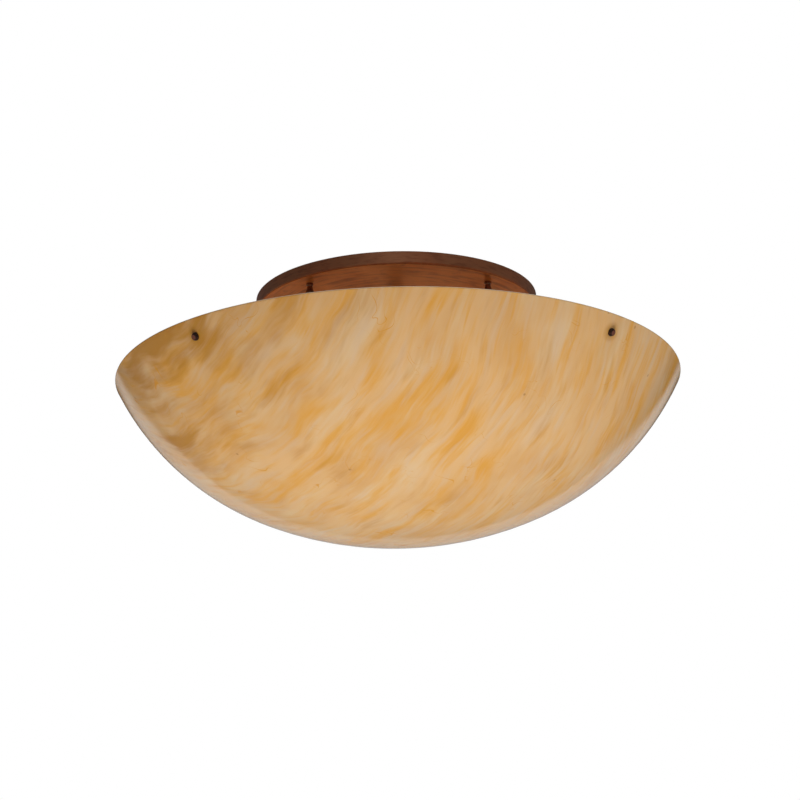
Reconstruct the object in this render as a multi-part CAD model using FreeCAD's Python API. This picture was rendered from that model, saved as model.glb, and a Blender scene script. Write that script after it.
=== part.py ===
import FreeCAD, Part
import math
import os

# Semi flush ceiling light: a shallow round ceiling plate carries four thin rods and a centre stem.
# Rods and stem hold a frame of four flat arms, whose turned-up ends take the four rim screws of a
# slumped glass bowl. A cluster of four lampholders hangs on the stem inside the bowl.
# Millimetres, +Z up. The origin is the centre of the strap's top face, in the plane of the ceiling,
# so everything hangs below it. The photographed side faces -Y.

# Bowl: two tangent arcs, flat at the bottom and steep at the rim
BOWL_RIM_R = 304.8
BOWL_FLANK_R = 290.0
BOWL_RIM_ANGLE = 64.0
BOWL_JOIN_ANGLE = 24.5
GLASS_T = 4.5
RIM_ROUNDING = 1.4
GLASS_HOLE_R = 3.25

# Ceiling plate, spun from sheet
PLATE_R = 152.4
PLATE_H = 13.9
PLATE_WALL = 1.2
PLATE_CORNER_R = 1.8
PLATE_TO_RIM = 79.6

# Strap that is screwed to the outlet box
STRAP_LENGTH = 108.0
STRAP_WIDTH = 20.0
STRAP_T = 2.0
BOX_SLOT_SPACING = 79.375
BOX_SLOT_LENGTH = 15.0
BOX_SLOT_R = 2.4
PLATE_SCREW_X = 24.0
GROUND_SCREW_X = -13.0
STRAP_CENTRE_R = 5.2

# Small thread of the rods, the rim screws and the plate screws
THREAD_R = 2.1
THREAD_CLEARANCE = 0.05
LOOSE_HOLE_R = 2.35
SMALL_NUT_FLATS = 7.0
SMALL_NUT_H = 3.2
CAP_NUT_BORE_DEPTH = 5.0
NUT_LIFT = 0.05

# Rods from plate to frame
ROD_CIRCLE_R = 133.0
ROD_SLEEVE_R = 3.6
ROD_SLEEVE_BORE_R = 2.2
COLLAR_H = 14.0

# Stem
STEM_R = 5.1
STEM_BORE_R = 3.5
STEM_SLEEVE_R = 7.0
STEM_RING_H = 5.0
STEM_NUT_FLATS = 15.0
STEM_NUT_H = 5.0
STEM_TOP_Z = -5.0
FINIAL_BORE_DEPTH = 7.6

# Frame of flat arms
ARM_WIDTH = 19.0
ARM_T = 3.0
ARM_INNER_R = 16.0
ARM_BEND_R = 6.0
ARM_CORNER_R = 5.0
TAB_ABOVE_SCREW = 9.0
TAB_BELOW_SCREW = 12.5
HUB_PLATE_R = 48.0
RIVET_RADII = (26.0, 40.0)
RIVET_R = 2.0

# Rim screws, through the glass into the arms
RIM_SCREW_DROP = 17.2
RIM_HEAD_R = 4.2
RIM_HEAD_H = 3.0
RIM_WASHER_T = 0.6
PAD_R = 8.0
PAD_T = 1.5
PAD_STAND_OFF = 0.12
CLINCH_NUT_H = 3.0
RIM_SCREW_TAIL = 1.4
HEAD_LIFT = 0.02

# Lamp cluster: a cup on the stem, its side sloped so that the lampholders point a little down
LAMP_TILT = 15.0
CUP_TOP_R = 34.0
CUP_H = 35.0
CUP_WALL = 1.6
LID_T = 2.0
SOCKET_R = 18.0
SOCKET_WALL = 2.6
SOCKET_BACK = 5.0
SOCKET_FLOOR = 4.0
NIPPLE_INSIDE = 6.0
NIPPLE_RING_R = 8.5
SOCKET_LENGTH = 40.0
SCREW_SHELL_R = 14.4
SCREW_SHELL_BORE_R = 13.28
BULB_BASE_R = 13.2
BULB_BASE_LENGTH = 24.0
BULB_R = 30.0
BULB_NECK_R = 13.0
BULB_NECK_LENGTH = 6.0
BULB_LENGTH = 108.0
BULB_GLASS = 0.9
BULB_TIP_GAP = 0.05

# Levels and angles worked out from the sizes above
PLATE_UNDER_Z = -PLATE_H
PLATE_FLOOR_Z = PLATE_UNDER_Z + PLATE_WALL
RIM_Z = PLATE_UNDER_Z - PLATE_TO_RIM
ARM_AZIMUTHS = (45.0, 135.0, 225.0, 315.0)
LAMP_AZIMUTHS = (0.0, 90.0, 180.0, 270.0)

UP = FreeCAD.Vector(0, 0, 1)
CENTRE = FreeCAD.Vector(0, 0, 0)


def sine(degrees):
    return math.sin(math.radians(degrees))


def cosine(degrees):
    return math.cos(math.radians(degrees))


# ---- Ways of making a shape ----


def at(point):
    """A point (radius, height) of a turned outline, drawn in the XZ plane."""
    return FreeCAD.Vector(point[0], 0, point[1])


def outline(start, *steps):
    """A closed face in the XZ plane. A step is the end of a line, or the (middle, end) of an arc."""
    edges = []
    here = start
    for step in steps + (start,):
        if isinstance(step[0], tuple):
            middle, end = step
            edges.append(Part.Arc(at(here), at(middle), at(end)).toShape())
        else:
            end = step
            if at(here).distanceToPoint(at(end)) > 1e-6:
                edges.append(Part.LineSegment(at(here), at(end)).toShape())
        here = end
    return Part.Face(Part.Wire(edges))


def turned(start, *steps):
    """A solid turned about the Z axis from an outline of (radius, height) points."""
    return outline(start, *steps).revolve(CENTRE, UP, 360)


def dome_middle(edge_r, edge_z, tip_z):
    """The middle point of a sphere's arc from its edge to its tip on the axis."""
    rise = tip_z - edge_z
    sphere_r = (edge_r**2 + rise**2) / (2 * abs(rise))
    centre_z = tip_z - math.copysign(sphere_r, rise)
    upward = (edge_z - centre_z) * math.copysign(1, rise)
    swing = math.degrees(math.atan2(edge_r, upward)) / 2
    return (sphere_r * sine(swing), centre_z + math.copysign(sphere_r * cosine(swing), rise))


def tube(outer_r, bore_r, low, high):
    """A plain ring or tube about the Z axis."""
    body = Part.makeCylinder(outer_r, high - low, FreeCAD.Vector(0, 0, low))
    return body.cut(Part.makeCylinder(bore_r, high - low, FreeCAD.Vector(0, 0, low)))


def hex_nut(flats, height, bore_r, low):
    """A hexagon nut about the Z axis, with both rims chamfered by a cone."""
    corner_r = flats / 2 / cosine(30)
    corners = [
        FreeCAD.Vector(corner_r * cosine(60 * k), corner_r * sine(60 * k), low)
        for k in range(7)
    ]
    body = Part.Face(Part.makePolygon(corners)).extrude(UP * height)
    chamfer = corner_r - flats / 2
    limit = turned(
        (0, low),
        (flats / 2, low),
        (corner_r + chamfer, low + chamfer),
        (corner_r + chamfer, low + height - chamfer),
        (flats / 2, low + height),
        (0, low + height),
    )
    bore = Part.makeCylinder(bore_r, height, FreeCAD.Vector(0, 0, low))
    return body.common(limit).cut(bore)


def around(shape, azimuth):
    """A copy of a shape, turned about the Z axis."""
    copy = shape.copy()
    copy.rotate(CENTRE, UP, azimuth)
    return copy


def moved(shape, x, y, z=0.0):
    """A copy of a shape, shifted."""
    copy = shape.copy()
    copy.translate(FreeCAD.Vector(x, y, z))
    return copy


def on_arms(shape):
    """The shape, made for azimuth 0, at each of the four arms."""
    return [around(shape, azimuth) for azimuth in ARM_AZIMUTHS]


def on_axis(shape, radius, height, dip):
    """A turned shape with its Z axis laid outward in the XZ plane, dipping below the horizontal."""
    copy = shape.copy()
    copy.rotate(CENTRE, FreeCAD.Vector(0, 1, 0), 90 + dip)
    copy.translate(FreeCAD.Vector(radius, 0, height))
    return copy


def save(name, shapes):
    """Writes one node, and prints its volume so that a lost piece shows."""
    shapes = shapes if isinstance(shapes, list) else [shapes]
    solids = [solid for shape in shapes for solid in shape.Solids]
    for solid in solids:
        if not solid.isValid() or solid.Volume <= 0:
            raise ValueError(name + " has a bad solid")
    Part.makeCompound(solids).exportStep(os.path.join("parts", name + ".step"))
    volume = sum(solid.Volume for solid in solids)
    print(name, len(solids), "solids", round(volume / 1000, 2), "cm3")


# ---- Bowl ----

FLANK_CENTRE = (
    BOWL_RIM_R - BOWL_FLANK_R * sine(BOWL_RIM_ANGLE),
    RIM_Z + BOWL_FLANK_R * cosine(BOWL_RIM_ANGLE),
)
BOWL_BOTTOM_R = FLANK_CENTRE[0] / sine(BOWL_JOIN_ANGLE) + BOWL_FLANK_R
BOTTOM_CENTRE_Z = FLANK_CENTRE[1] + FLANK_CENTRE[0] / math.tan(
    math.radians(BOWL_JOIN_ANGLE)
)


def on_flank(angle, depth=0.0):
    """A point of the steep part of the bowl, depth inside the outer face."""
    radius = BOWL_FLANK_R - depth
    return (
        FLANK_CENTRE[0] + radius * sine(angle),
        FLANK_CENTRE[1] - radius * cosine(angle),
    )


def on_bottom(angle, depth=0.0):
    """A point of the flat part of the bowl, depth inside the outer face."""
    radius = BOWL_BOTTOM_R - depth
    return (radius * sine(angle), BOTTOM_CENTRE_Z - radius * cosine(angle))


RIM_SCREW_ANGLE = math.degrees(
    math.acos((FLANK_CENTRE[1] - RIM_Z + RIM_SCREW_DROP) / BOWL_FLANK_R)
)
RIM_SCREW_DIP = 90 - RIM_SCREW_ANGLE


def on_rim_screw(shape):
    """A turned shape, made about Z with 0 on the outer glass face, laid along a rim screw's axis."""
    radius, height = on_flank(RIM_SCREW_ANGLE)
    return on_axis(shape, radius, height, RIM_SCREW_DIP)


def glass_bowl():
    """The slumped bowl, one thickness all over, with a level ground rim and its arrises taken off."""
    inner_radius = BOWL_FLANK_R - GLASS_T
    inner_rim_angle = math.degrees(math.acos((FLANK_CENTRE[1] - RIM_Z) / inner_radius))
    half_join = BOWL_JOIN_ANGLE / 2
    body = turned(
        on_bottom(0),
        (on_bottom(half_join), on_bottom(BOWL_JOIN_ANGLE)),
        (
            on_flank((BOWL_JOIN_ANGLE + BOWL_RIM_ANGLE) / 2),
            on_flank(BOWL_RIM_ANGLE),
        ),
        on_flank(inner_rim_angle, GLASS_T),
        (
            on_flank((BOWL_JOIN_ANGLE + inner_rim_angle) / 2, GLASS_T),
            on_flank(BOWL_JOIN_ANGLE, GLASS_T),
        ),
        (on_bottom(half_join, GLASS_T), on_bottom(0, GLASS_T)),
    )
    arrises = [
        edge
        for edge in body.Edges
        if abs(edge.BoundBox.ZMin - RIM_Z) < 0.01
        and abs(edge.BoundBox.ZMax - RIM_Z) < 0.01
        and edge.Length > BOWL_RIM_R
    ]
    body = body.makeFillet(RIM_ROUNDING, arrises)
    drill = Part.makeCylinder(GLASS_HOLE_R, 4 * GLASS_T, FreeCAD.Vector(0, 0, -2 * GLASS_T))
    for hole in on_arms(on_rim_screw(drill)):
        body = body.cut(hole)
    return body


# ---- Ceiling plate and the strap behind it ----


def ceiling_plate():
    """A shallow spun pan, open to the ceiling, with holes for stem, rods and plate screws."""
    outer, inner = PLATE_R, PLATE_R - PLATE_WALL
    bend = PLATE_CORNER_R
    inner_bend = bend - PLATE_WALL
    slack = 1 - sine(45)
    body = turned(
        (0, PLATE_UNDER_Z),
        (outer - bend, PLATE_UNDER_Z),
        (
            (outer - bend * slack, PLATE_UNDER_Z + bend * slack),
            (outer, PLATE_UNDER_Z + bend),
        ),
        (outer, 0),
        (inner, 0),
        (inner, PLATE_FLOOR_Z + inner_bend),
        (
            (inner - inner_bend * slack, PLATE_FLOOR_Z + inner_bend * slack),
            (inner - inner_bend, PLATE_FLOOR_Z),
        ),
        (0, PLATE_FLOOR_Z),
    )
    low = FreeCAD.Vector(0, 0, PLATE_UNDER_Z - 1)
    body = body.cut(Part.makeCylinder(STEM_R + 0.2, PLATE_H, low))
    small = Part.makeCylinder(LOOSE_HOLE_R, PLATE_H, low)
    for hole in on_arms(moved(small, ROD_CIRCLE_R, 0)):
        body = body.cut(hole)
    for x in (-PLATE_SCREW_X, PLATE_SCREW_X):
        body = body.cut(moved(small, x, 0))
    return body


def mounting_strap():
    """The flat steel strap, with a slot at each end for the outlet box screws."""
    corner = STRAP_WIDTH / 2
    straight = STRAP_LENGTH - 2 * corner
    body = Part.makeBox(
        straight,
        STRAP_WIDTH,
        STRAP_T,
        FreeCAD.Vector(-straight / 2, -STRAP_WIDTH / 2, -STRAP_T),
    )
    low = FreeCAD.Vector(0, 0, -STRAP_T)
    for x in (-straight / 2, straight / 2):
        body = body.fuse(moved(Part.makeCylinder(corner, STRAP_T, low), x, 0))
    body = body.removeSplitter()
    for side in (-1, 1):
        body = body.cut(slot(side * BOX_SLOT_SPACING / 2, BOX_SLOT_LENGTH, BOX_SLOT_R))
        body = body.cut(moved(countersunk(LOOSE_HOLE_R), side * PLATE_SCREW_X, 0))
    body = body.cut(Part.makeCylinder(STRAP_CENTRE_R, STRAP_T, low))
    return body.cut(moved(Part.makeCylinder(LOOSE_HOLE_R, STRAP_T, low), GROUND_SCREW_X, 0))


def slot(x, length, radius):
    """The cutter of a round-ended slot through the strap, along X."""
    low = FreeCAD.Vector(0, 0, -STRAP_T)
    reach = length / 2 - radius
    ends = [
        moved(Part.makeCylinder(radius, STRAP_T, low), x + side * reach, 0)
        for side in (-1, 1)
    ]
    middle = Part.makeBox(
        2 * reach, 2 * radius, STRAP_T, FreeCAD.Vector(x - reach, -radius, -STRAP_T)
    )
    return middle.fuse(ends[0]).fuse(ends[1])


def countersunk(shank_r):
    """The head and neck of a countersunk screw in the strap, flush with its top face."""
    head_r = shank_r + 1.6
    return turned((0, 0), (head_r, 0), (shank_r, -1.6), (shank_r, -STRAP_T), (0, -STRAP_T))


def plate_screws():
    """Two countersunk screws that hang from the strap and come out under the plate."""
    tail = PLATE_UNDER_Z - CAP_NUT_BORE_DEPTH + 0.6
    shank = Part.makeCylinder(THREAD_R, -tail, FreeCAD.Vector(0, 0, tail))
    screw = countersunk(LOOSE_HOLE_R).fuse(shank).removeSplitter()
    return [moved(screw, x, 0) for x in (-PLATE_SCREW_X, PLATE_SCREW_X)]


def plate_cap_nut(x):
    """A turned cap nut that holds the plate up: a foot ring, a waist and a ball."""
    foot_z = PLATE_UNDER_Z - NUT_LIFT
    foot_r, waist_r = 5.6, 3.4
    waist_z = foot_z - 4.6
    tip_z = waist_z - 7.2
    body = turned(
        (0, foot_z),
        (foot_r, foot_z),
        (foot_r, foot_z - 1.4),
        ((waist_r + 0.8, foot_z - 2.2), (waist_r, foot_z - 3.6)),
        (waist_r, waist_z),
        (dome_middle(waist_r, waist_z, tip_z), (0, tip_z)),
    )
    low = FreeCAD.Vector(0, 0, foot_z - CAP_NUT_BORE_DEPTH)
    bore = Part.makeCylinder(THREAD_R + THREAD_CLEARANCE, CAP_NUT_BORE_DEPTH, low)
    return moved(body.cut(bore), x, 0)


def ground_screw():
    """The earth screw, driven up into the strap from below, with a washer head."""
    shank = Part.makeCylinder(THREAD_R, 4.5, FreeCAD.Vector(0, 0, -4.5))
    washer = Part.makeCylinder(4.6, 0.9, FreeCAD.Vector(0, 0, -STRAP_T - 0.9))
    head = hex_nut(6.4, 2.4, 0.6, -STRAP_T - 3.3)
    screw = washer.fuse(head).fuse(shank).removeSplitter()
    return moved(screw, GROUND_SCREW_X, 0)


# ---- Rods that carry the frame ----

ARM_ANGLE = RIM_SCREW_ANGLE
PAD_NEAR = GLASS_T + PAD_STAND_OFF
TAB_NEAR = PAD_NEAR + PAD_T
TAB_MIDDLE = on_flank(RIM_SCREW_ANGLE, TAB_NEAR + ARM_T / 2)
ARM_CORNER = (
    TAB_MIDDLE[0] - TAB_BELOW_SCREW * cosine(ARM_ANGLE),
    TAB_MIDDLE[1] - TAB_BELOW_SCREW * sine(ARM_ANGLE),
)
ARM_TOP_Z = ARM_CORNER[1] + ARM_T / 2
ARM_UNDER_Z = ARM_TOP_Z - ARM_T
HUB_UNDER_Z = ARM_UNDER_Z - ARM_T


def hanger_rod():
    """A threaded rod from above the plate's floor to inside the cap nut below the arm."""
    top = PLATE_FLOOR_Z + SMALL_NUT_H + 1.2
    low = ARM_UNDER_Z - CAP_NUT_BORE_DEPTH
    rod = Part.makeCylinder(THREAD_R, top - low, FreeCAD.Vector(0, 0, low))
    return moved(rod, ROD_CIRCLE_R, 0)


def rod_collar():
    """The turned collar under the plate: a cap, a waist, a foot that flares to a bead, and a taper."""
    top = PLATE_UNDER_Z
    cap_r, waist_r, flare_r, foot_r, bead_r = 3.7, 2.9, 3.45, 4.5, 4.95
    cap_z = top - 1.7
    waist_z = top - 3.8
    foot_z = top - 9.4
    bead_z = foot_z - 1.8
    body = turned(
        (ROD_SLEEVE_BORE_R, top),
        (cap_r, top),
        (cap_r, cap_z),
        (waist_r + 0.3, cap_z - 0.5),
        ((waist_r + 0.05, cap_z - 1.0), (waist_r, waist_z)),
        ((flare_r, (waist_z + foot_z) / 2), (foot_r, foot_z)),
        ((bead_r, (foot_z + bead_z) / 2), (foot_r, bead_z)),
        (ROD_SLEEVE_R + 0.4, top - COLLAR_H),
        (ROD_SLEEVE_BORE_R, top - COLLAR_H),
    )
    return moved(body, ROD_CIRCLE_R, 0)


def rod_sleeve():
    """The plain tube that hides the rod between collar and arm, and spaces them."""
    body = tube(ROD_SLEEVE_R, ROD_SLEEVE_BORE_R, ARM_TOP_Z, PLATE_UNDER_Z - COLLAR_H)
    return moved(body, ROD_CIRCLE_R, 0)


def rod_top_nut():
    """The nut on the plate's floor that the rod hangs by."""
    return moved(
        hex_nut(SMALL_NUT_FLATS, SMALL_NUT_H, THREAD_R, PLATE_FLOOR_Z), ROD_CIRCLE_R, 0
    )


def rod_cap_nut():
    """The acorn nut under the arm: a hexagon with a dome over the rod's end."""
    hexagon_z = ARM_UNDER_Z - SMALL_NUT_H
    hexagon = hex_nut(SMALL_NUT_FLATS, SMALL_NUT_H, THREAD_R, hexagon_z)
    dome_r = SMALL_NUT_FLATS / 2 - 0.3
    dome_z = hexagon_z - 0.6
    dome = turned(
        (0, hexagon_z),
        (dome_r, hexagon_z),
        (dome_r, dome_z),
        (dome_middle(dome_r, dome_z, dome_z - dome_r), (0, dome_z - dome_r)),
    )
    low = FreeCAD.Vector(0, 0, ARM_UNDER_Z - CAP_NUT_BORE_DEPTH)
    bore = Part.makeCylinder(THREAD_R, CAP_NUT_BORE_DEPTH, low)
    return moved(hexagon.fuse(dome).cut(bore).removeSplitter(), ROD_CIRCLE_R, 0)


# ---- Stem ----

NUT_BELOW_HUB_Z = HUB_UNDER_Z - STEM_NUT_H
LID_TOP_Z = NUT_BELOW_HUB_Z
CUP_TOP_Z = LID_TOP_Z - LID_T
CUP_LOW_Z = CUP_TOP_Z - CUP_H
CUP_LOW_R = CUP_TOP_R - CUP_H * math.tan(math.radians(LAMP_TILT))


def stem_pipe():
    """The threaded pipe from inside the plate to the finial under the cup, bored for the leads."""
    return tube(STEM_R, STEM_BORE_R, CUP_LOW_Z - 7.0, STEM_TOP_Z)


def stem_ring():
    """The turned ring that covers the stem's hole under the plate."""
    top = PLATE_UNDER_Z
    low = top - STEM_RING_H
    return turned(
        (STEM_R, top),
        (13.0, top),
        ((12.2, top - 2.6), (9.6, top - 3.4)),
        (9.6, low),
        (STEM_R, low),
    )


def stem_sleeve():
    """The cover tube between the ring and the frame's hub plate."""
    return tube(STEM_SLEEVE_R, STEM_R, ARM_UNDER_Z, PLATE_UNDER_Z - STEM_RING_H)


def stem_nuts():
    """Three hexagon nuts: on the plate's floor, under the hub plate and inside the cup."""
    lows = (PLATE_FLOOR_Z, NUT_BELOW_HUB_Z, CUP_TOP_Z - STEM_NUT_H)
    return [hex_nut(STEM_NUT_FLATS, STEM_NUT_H, STEM_R, low) for low in lows]


def stem_finial():
    """The hand-turned knob that closes the stem and holds the cup up against its lid."""
    top = CUP_LOW_Z - NUT_LIFT
    flange_r, waist_r = 11.0, 7.5
    waist_z = top - 9.0
    tip_z = waist_z - 15.0
    body = turned(
        (0, top),
        (flange_r, top),
        (flange_r, top - 2.0),
        ((waist_r + 0.7, top - 4.4), (waist_r, waist_z)),
        (dome_middle(waist_r, waist_z, tip_z), (0, tip_z)),
    )
    low = FreeCAD.Vector(0, 0, top - FINIAL_BORE_DEPTH)
    return body.cut(Part.makeCylinder(STEM_R + THREAD_CLEARANCE, FINIAL_BORE_DEPTH, low))


def lead_bushing():
    """The plastic ring in the pipe's top end that keeps its edge off the leads."""
    collar_r, lip_r = STEM_R, STEM_BORE_R - 1.1
    return turned(
        (lip_r, STEM_TOP_Z - 5.0),
        (STEM_BORE_R, STEM_TOP_Z - 5.0),
        (STEM_BORE_R, STEM_TOP_Z),
        (collar_r, STEM_TOP_Z),
        (collar_r, STEM_TOP_Z + 0.8),
        (lip_r + 0.5, STEM_TOP_Z + 1.4),
        (lip_r, STEM_TOP_Z + 1.0),
    )


# ---- Frame of four arms ----


def strip_side(offset):
    """One face of the bent arm, offset from its middle: inner end, bend start, middle and end, tab end."""
    corner_r, corner_z = ARM_CORNER
    reach = ARM_BEND_R * math.tan(math.radians(ARM_ANGLE / 2))
    centre = (corner_r - reach, corner_z + ARM_BEND_R)
    radius = ARM_BEND_R - offset
    along = TAB_BELOW_SCREW + TAB_ABOVE_SCREW
    tip = (corner_r + along * cosine(ARM_ANGLE), corner_z + along * sine(ARM_ANGLE))
    return (
        (ARM_INNER_R, corner_z + offset),
        (centre[0], centre[1] - radius),
        (
            centre[0] + radius * sine(ARM_ANGLE / 2),
            centre[1] - radius * cosine(ARM_ANGLE / 2),
        ),
        (centre[0] + radius * sine(ARM_ANGLE), centre[1] - radius * cosine(ARM_ANGLE)),
        (tip[0] - offset * sine(ARM_ANGLE), tip[1] + offset * cosine(ARM_ANGLE)),
    )


def frame_arm():
    """A flat bar from the hub plate to the rim, its end bent up against the glass and rounded."""
    near = strip_side(ARM_T / 2)
    far = strip_side(-ARM_T / 2)
    side = outline(
        far[0],
        far[1],
        (far[2], far[3]),
        far[4],
        near[4],
        near[3],
        (near[2], near[1]),
        near[0],
    )
    body = side.extrude(FreeCAD.Vector(0, ARM_WIDTH, 0))
    body.translate(FreeCAD.Vector(0, -ARM_WIDTH / 2, 0))
    tip_z = min(near[4][1], far[4][1]) - 0.01
    ends = [
        edge
        for edge in body.Edges
        if edge.BoundBox.ZMin > tip_z
        and edge.BoundBox.YLength < 0.01
        and abs(edge.Length - ARM_T) < 0.01
    ]
    body = body.makeFillet(ARM_CORNER_R, ends)
    drill = Part.makeCylinder(LOOSE_HOLE_R, 8 * ARM_T, FreeCAD.Vector(0, 0, -6 * ARM_T))
    body = body.cut(on_rim_screw(drill))
    down = FreeCAD.Vector(0, 0, ARM_UNDER_Z - 1)
    body = body.cut(moved(Part.makeCylinder(LOOSE_HOLE_R, ARM_T + 2, down), ROD_CIRCLE_R, 0))
    for radius in RIVET_RADII:
        body = body.cut(moved(Part.makeCylinder(RIVET_R, ARM_T + 2, down), radius, 0))
    return body


def frame_hub_plate():
    """The round plate that the arms are riveted to, clamped on the stem."""
    body = tube(HUB_PLATE_R, STEM_R + 0.1, HUB_UNDER_Z, ARM_UNDER_Z)
    down = FreeCAD.Vector(0, 0, HUB_UNDER_Z - 1)
    for radius in RIVET_RADII:
        for hole in on_arms(moved(Part.makeCylinder(RIVET_R, ARM_T + 2, down), radius, 0)):
            body = body.cut(hole)
    return body


def frame_rivet(radius):
    """A rivet with a domed head on each side of arm and hub plate."""
    head_r, head_h = 1.75 * RIVET_R, 1.5
    top_tip_z, low_tip_z = ARM_TOP_Z + head_h, HUB_UNDER_Z - head_h
    body = turned(
        (head_r, HUB_UNDER_Z),
        (RIVET_R, HUB_UNDER_Z),
        (RIVET_R, ARM_TOP_Z),
        (head_r, ARM_TOP_Z),
        (dome_middle(head_r, ARM_TOP_Z, top_tip_z), (0, top_tip_z)),
        (0, low_tip_z),
        (dome_middle(head_r, HUB_UNDER_Z, low_tip_z), (head_r, HUB_UNDER_Z)),
    )
    return moved(body, radius, 0)


# ---- What holds the glass, each made along the screw's axis with the outer glass face at 0 ----


def rim_screw():
    """A button-headed screw: a thin flange, rounded shoulders and a small flat top."""
    seat = RIM_WASHER_T
    tail = TAB_NEAR + ARM_T + CLINCH_NUT_H + RIM_SCREW_TAIL
    shoulder_z = seat + 0.9
    body = turned(
        (0, -tail),
        (THREAD_R - 0.5, -tail),
        (THREAD_R, -tail + 0.5),
        (THREAD_R, seat),
        (RIM_HEAD_R, seat),
        (RIM_HEAD_R, shoulder_z - 0.2),
        (RIM_HEAD_R - 0.5, shoulder_z),
        ((RIM_HEAD_R - 0.9, seat + 0.86 * RIM_HEAD_H), (1.9, seat + RIM_HEAD_H)),
        (0, seat + RIM_HEAD_H),
    )
    return on_rim_screw(body)


def rim_washer():
    """A fibre washer between screw head and glass."""
    return on_rim_screw(tube(RIM_HEAD_R - 0.2, LOOSE_HOLE_R, 0, RIM_WASHER_T - HEAD_LIFT))


def rim_bushing():
    """A nylon bush that keeps the screw off the edge of the hole."""
    return on_rim_screw(tube(GLASS_HOLE_R, LOOSE_HOLE_R, -GLASS_T, -0.1))


def rim_pad():
    """A rubber disc between glass and arm."""
    return on_rim_screw(tube(PAD_R, LOOSE_HOLE_R, -TAB_NEAR, -PAD_NEAR))


def clinch_nut():
    """The nut that is pressed on the inside of the arm's tab."""
    bore_r = THREAD_R + THREAD_CLEARANCE
    low = -TAB_NEAR - ARM_T - CLINCH_NUT_H
    return on_rim_screw(hex_nut(SMALL_NUT_FLATS, CLINCH_NUT_H, bore_r, low))


# ---- Lamp cluster ----

SOCKET_WALL_Z = (CUP_TOP_Z + CUP_LOW_Z) / 2
SOCKET_WALL_R = (CUP_TOP_R + CUP_LOW_R) / 2
SOCKET_MOUTH = SOCKET_BACK + SOCKET_LENGTH
SHELL_FLOOR = SOCKET_BACK + 7.0
CONTACT_TOP = SHELL_FLOOR + 2.4
BULB_FOOT = CONTACT_TOP + BULB_TIP_GAP


def on_lamp(shape, azimuth):
    """A turned shape, made about Z with 0 on the cup's side, laid along one lampholder's axis."""
    return around(on_axis(shape, SOCKET_WALL_R, SOCKET_WALL_Z, LAMP_TILT), azimuth)


def cup_blank():
    """The cup's outer form, as a solid."""
    return turned((0, CUP_LOW_Z), (CUP_LOW_R, CUP_LOW_Z), (CUP_TOP_R, CUP_TOP_Z), (0, CUP_TOP_Z))


def cluster_cup():
    """The sloped cup that carries the lampholders, spun from sheet and open at the top."""
    wall = CUP_WALL / cosine(LAMP_TILT)
    floor_z = CUP_LOW_Z + CUP_WALL
    inner_low_r = CUP_LOW_R - wall + CUP_WALL * math.tan(math.radians(LAMP_TILT))
    hollow = turned(
        (0, floor_z), (inner_low_r, floor_z), (CUP_TOP_R - wall, CUP_TOP_Z), (0, CUP_TOP_Z)
    )
    low = FreeCAD.Vector(0, 0, CUP_LOW_Z)
    body = cup_blank().cut(hollow).cut(Part.makeCylinder(STEM_R + 0.1, CUP_WALL, low))
    drill = Part.makeCylinder(STEM_R, 12.0, FreeCAD.Vector(0, 0, -8.0))
    for azimuth in LAMP_AZIMUTHS:
        body = body.cut(on_lamp(drill, azimuth))
    return body


def cluster_lid():
    """The cup's lid, with a lip that centres it, clamped between two nuts on the stem."""
    lip_r = CUP_TOP_R - CUP_WALL / cosine(LAMP_TILT) - 1.6
    return turned(
        (STEM_R + 0.1, LID_TOP_Z),
        (CUP_TOP_R, LID_TOP_Z),
        (CUP_TOP_R + 1.2, LID_TOP_Z - 0.8),
        (CUP_TOP_R + 1.2, CUP_TOP_Z),
        (lip_r, CUP_TOP_Z),
        (lip_r, CUP_TOP_Z - 2.5),
        (lip_r - 1.6, CUP_TOP_Z - 2.5),
        (lip_r - 1.6, CUP_TOP_Z),
        (STEM_R + 0.1, CUP_TOP_Z),
    )


def socket_nipple(azimuth):
    """A short threaded pipe from cup to lampholder, with a spacing ring cut to the cup's side."""
    pipe = tube(STEM_R, STEM_BORE_R, -NIPPLE_INSIDE, SOCKET_BACK + SOCKET_FLOOR)
    ring = tube(NIPPLE_RING_R, STEM_R, -CUP_WALL, SOCKET_BACK)
    seated_ring = on_lamp(ring, azimuth).cut(cup_blank())
    return on_lamp(pipe, azimuth).fuse(seated_ring).removeSplitter()


def socket_shell():
    """The moulded lampholder: a rounded back, two grip beads and an open mouth."""
    back, mouth = SOCKET_BACK, SOCKET_MOUTH
    outer, bore = SOCKET_R, SOCKET_R - SOCKET_WALL
    bead = 0.9
    steps = [((outer - 1.6, back + 1.6), (outer, back + 5.5))]
    for middle in (mouth - 10.0, mouth - 3.0):
        steps += [
            (outer, middle - 2.0),
            ((outer + bead, middle), (outer, middle + 2.0)),
        ]
    steps += [
        (outer, mouth),
        (bore, mouth),
        (bore, back + SOCKET_FLOOR),
        (STEM_R, back + SOCKET_FLOOR),
        (STEM_R, back),
    ]
    return turned((STEM_R, back), (outer - 6.0, back), *steps)


def socket_core():
    """The insulating block in the lampholder that the brass shell and contact stand on."""
    low = SOCKET_BACK + SOCKET_FLOOR
    return Part.makeCylinder(
        SOCKET_R - SOCKET_WALL, SHELL_FLOOR - low, FreeCAD.Vector(0, 0, low)
    )


def socket_screw_shell():
    """The brass shell that the bulb screws into, with a floor that has a hole for the contact."""
    floor = SHELL_FLOOR + 0.8
    mouth = SOCKET_MOUTH - 6.0
    return turned(
        (6.0, SHELL_FLOOR),
        (SCREW_SHELL_R, SHELL_FLOOR),
        (SCREW_SHELL_R, mouth),
        (SCREW_SHELL_BORE_R, mouth),
        (SCREW_SHELL_BORE_R, floor),
        (6.0, floor),
    )


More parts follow.
